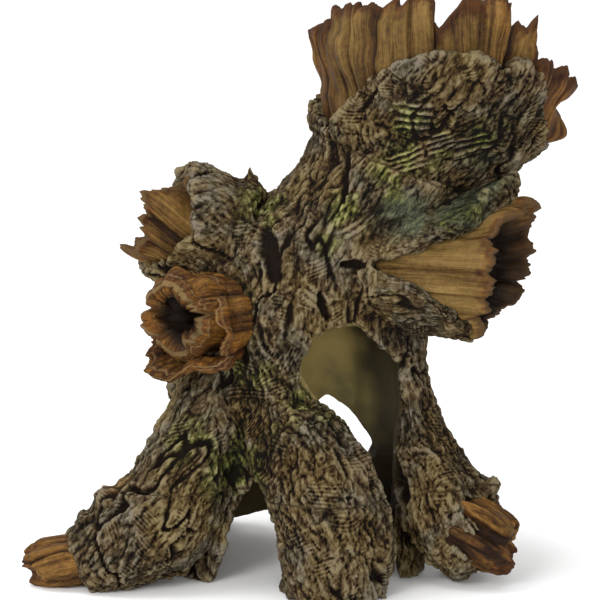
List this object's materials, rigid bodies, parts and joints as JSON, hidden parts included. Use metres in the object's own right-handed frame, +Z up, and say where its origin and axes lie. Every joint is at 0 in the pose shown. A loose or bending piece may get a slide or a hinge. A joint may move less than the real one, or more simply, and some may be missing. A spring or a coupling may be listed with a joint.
{
  "type": "cave ornament",
  "caption": "Hollow broken tree-stump cave for an aquarium, on spreading roots, with a flared splintered top, side branches, a window and arches to swim through.",
  "frame": {"origin": "on the floor, under the centre of the bounding box", "axes": "+Z up, -Y to the front with the big window, +X to the side that the broken top and the large branch lean to"},
  "size_m": [0.2564, 0.1788, 0.2776],
  "materials": {
    "bark": "painted stone-filled resin, rough bark relief, moss-green dry brushing, matte",
    "heartwood": "painted resin, splintered wood grain, ochre with dark brown wash, satin-matte"
  },
  "bodies": {
    "root": {"trunk_front_shell": "bark", "trunk_rear_shell": "bark", "snag_bark_sleeve": "bark", "snag_heartwood_crown": "heartwood", "branch_bark_collar": "bark", "branch_heartwood": "heartwood", "knot_petal_collar": "heartwood", "knot_heartwood": "heartwood", "stub_bark": "bark", "stub_heartwood": "heartwood", "left_root": "bark", "left_root_heartwood": "heartwood", "front_root": "bark", "right_root": "bark", "right_root_heartwood": "heartwood", "rear_left_root": "bark", "rear_right_root": "bark"}
  },
  "joints": []
}
